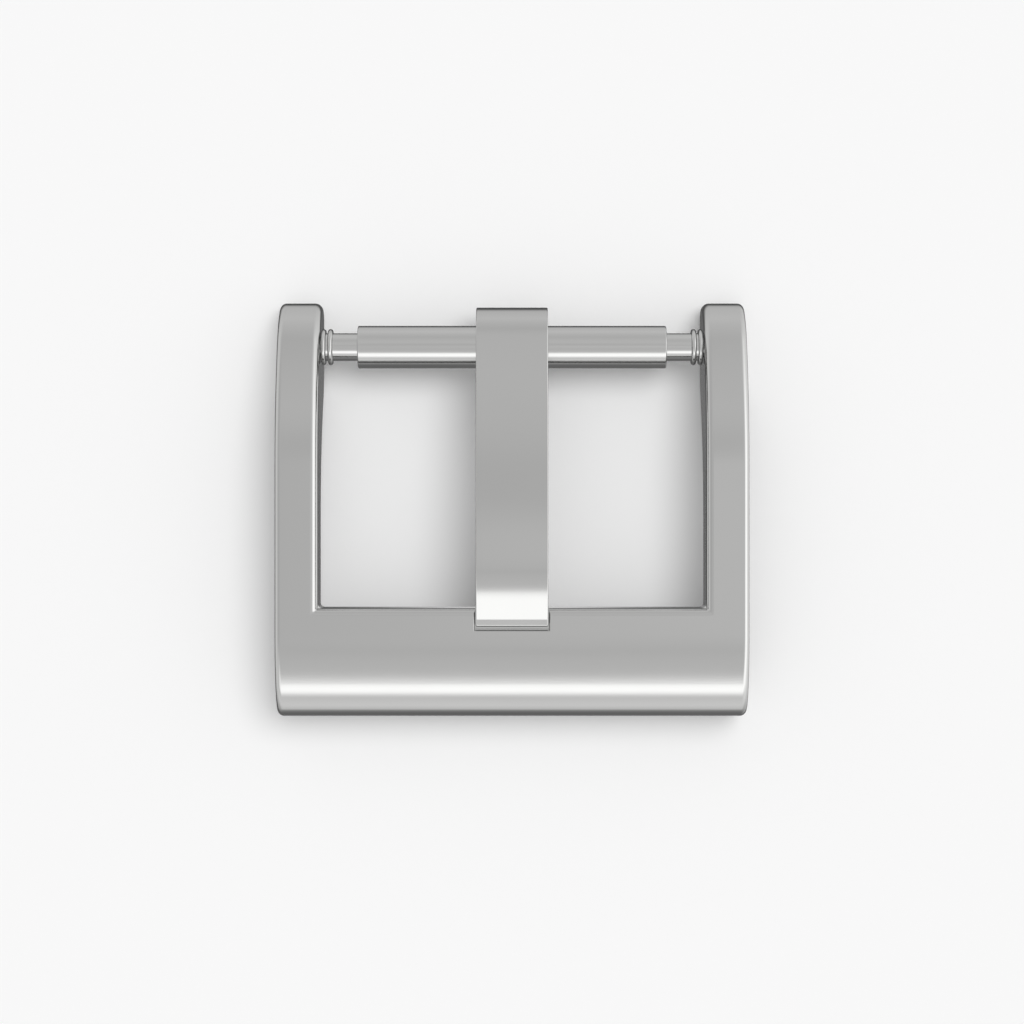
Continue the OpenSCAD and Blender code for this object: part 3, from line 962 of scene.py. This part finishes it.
def surround(scene):
    """Gives the steel its surroundings to mirror. They don't light the floor."""
    world = bpy.data.worlds.new("pale studio with a dark table")
    scene.world = world
    world.use_nodes = True
    tree = world.node_tree
    tree.nodes.clear()
    direction = add_node(tree, "ShaderNodeTexCoord").outputs["Generated"]
    x, y, z = add_node(tree, "ShaderNodeSeparateXYZ", {"Vector": direction}).outputs
    from_zenith = add_node(tree, "ShaderNodeMath", {0: z}, operation="ARCCOSINE")
    half_round = add_node(tree, "ShaderNodeMath", {0: from_zenith, 1: math.pi}, operation="DIVIDE")
    sides = {}
    for side, stops in SURROUNDINGS.items():
        ramp = add_node(tree, "ShaderNodeValToRGB", {"Fac": half_round})
        elements = ramp.color_ramp.elements
        for i, (degrees, value) in enumerate(stops):
            stop = elements[i] if i < len(elements) else elements.new(degrees / 180)
            stop.position = degrees / 180
            stop.color = (value, value, value, 1)
        sides[side] = ramp

    # The share of left or right in a direction is x squared over x squared plus y squared, and the
    # rest comes from front or back
    squares = [add_node(tree, "ShaderNodeMath", {0: c, 1: c}, operation="MULTIPLY") for c in (x, y)]
    both = add_node(tree, "ShaderNodeMath", {0: squares[0], 1: squares[1]}, operation="ADD")
    share = add_node(tree, "ShaderNodeMath", {0: squares[0], 1: both}, operation="DIVIDE")
    mixed = []
    for c, low, high in ((y, "front", "back"), (x, "left", "right")):
        to_high = add_node(tree, "ShaderNodeMath", {0: c, 1: 0.0}, operation="GREATER_THAN")
        parts = {0: to_high, MIX_A: sides[low], MIX_B: sides[high]}
        mixed.append(add_node(tree, "ShaderNodeMix", parts, data_type="RGBA").outputs[MIX_RESULT])
    parts = {0: share, MIX_A: mixed[0], MIX_B: mixed[1]}
    studio = add_node(tree, "ShaderNodeMix", parts, data_type="RGBA").outputs[MIX_RESULT]
    sky = add_node(tree, "ShaderNodeBackground", {"Color": studio, "Strength": 1.0})
    add_node(tree, "ShaderNodeOutputWorld", {"Surface": sky})
    world.cycles_visibility.diffuse = False


class BUCKLE_OT_stage(Operator):
    """Sets out the camera, the floor, the soft lights and the pale surroundings"""

    bl_idname = "buckle.stage"
    bl_label = "Stage"

    def execute(self, context):
        deselect_everything()
        bpy.ops.object.camera_add(location=CAMERA_PLACE, rotation=(0, 0, 0))
        camera = context.object
        camera.data.lens = CAMERA_LENS
        camera.data.sensor_width = CAMERA_FILM
        camera.data.clip_start, camera.data.clip_end = CAMERA_SEES
        context.scene.camera = camera
        lay_floor(context.scene.buckle_looks.floor)
        light_floor()
        surround(context.scene)
        context.scene.view_settings.view_transform = "Standard"
        return {"FINISHED"}


# The add-on


class BUCKLE_PT_panel(Panel):
    """Lists the pieces in the 3D view's sidebar"""

    bl_label = "Strap Buckle"
    bl_idname = "BUCKLE_PT_panel"
    bl_space_type = "VIEW_3D"
    bl_region_type = "UI"
    bl_category = "Buckle"

    def draw(self, context):
        for operator in OPERATORS:
            self.layout.operator(operator.bl_idname)
        for name in GROUPS:
            group = getattr(context.scene, name)
            box = self.layout.box()
            box.label(text=group.bl_rna.description)
            for key in group.__annotations__:
                box.prop(group, key)


OPERATORS = (
    BUCKLE_OT_frame,
    BUCKLE_OT_tongue,
    BUCKLE_OT_tube,
    BUCKLE_OT_plungers,
    BUCKLE_OT_spring,
    BUCKLE_OT_stage,
)
GROUPS = {
    "buckle_frame": BUCKLE_PG_frame,
    "buckle_tongue": BUCKLE_PG_tongue,
    "buckle_bar": BUCKLE_PG_bar,
    "buckle_looks": BUCKLE_PG_looks,
}


def register():
    for name, group in GROUPS.items():
        bpy.utils.register_class(group)
        setattr(bpy.types.Scene, name, PointerProperty(type=group))
    for thing in (*OPERATORS, BUCKLE_PT_panel):
        bpy.utils.register_class(thing)


def unregister():
    for thing in (BUCKLE_PT_panel, *reversed(OPERATORS)):
        bpy.utils.unregister_class(thing)
    for name, group in reversed(GROUPS.items()):
        delattr(bpy.types.Scene, name)
        bpy.utils.unregister_class(group)


def main():
    register()
    bpy.ops.buckle.stage()
    bpy.ops.buckle.frame()
    bpy.ops.buckle.tongue()
    bpy.ops.buckle.tube()
    bpy.ops.buckle.plungers()
    bpy.ops.buckle.spring()


if __name__ == "__main__":
    main()
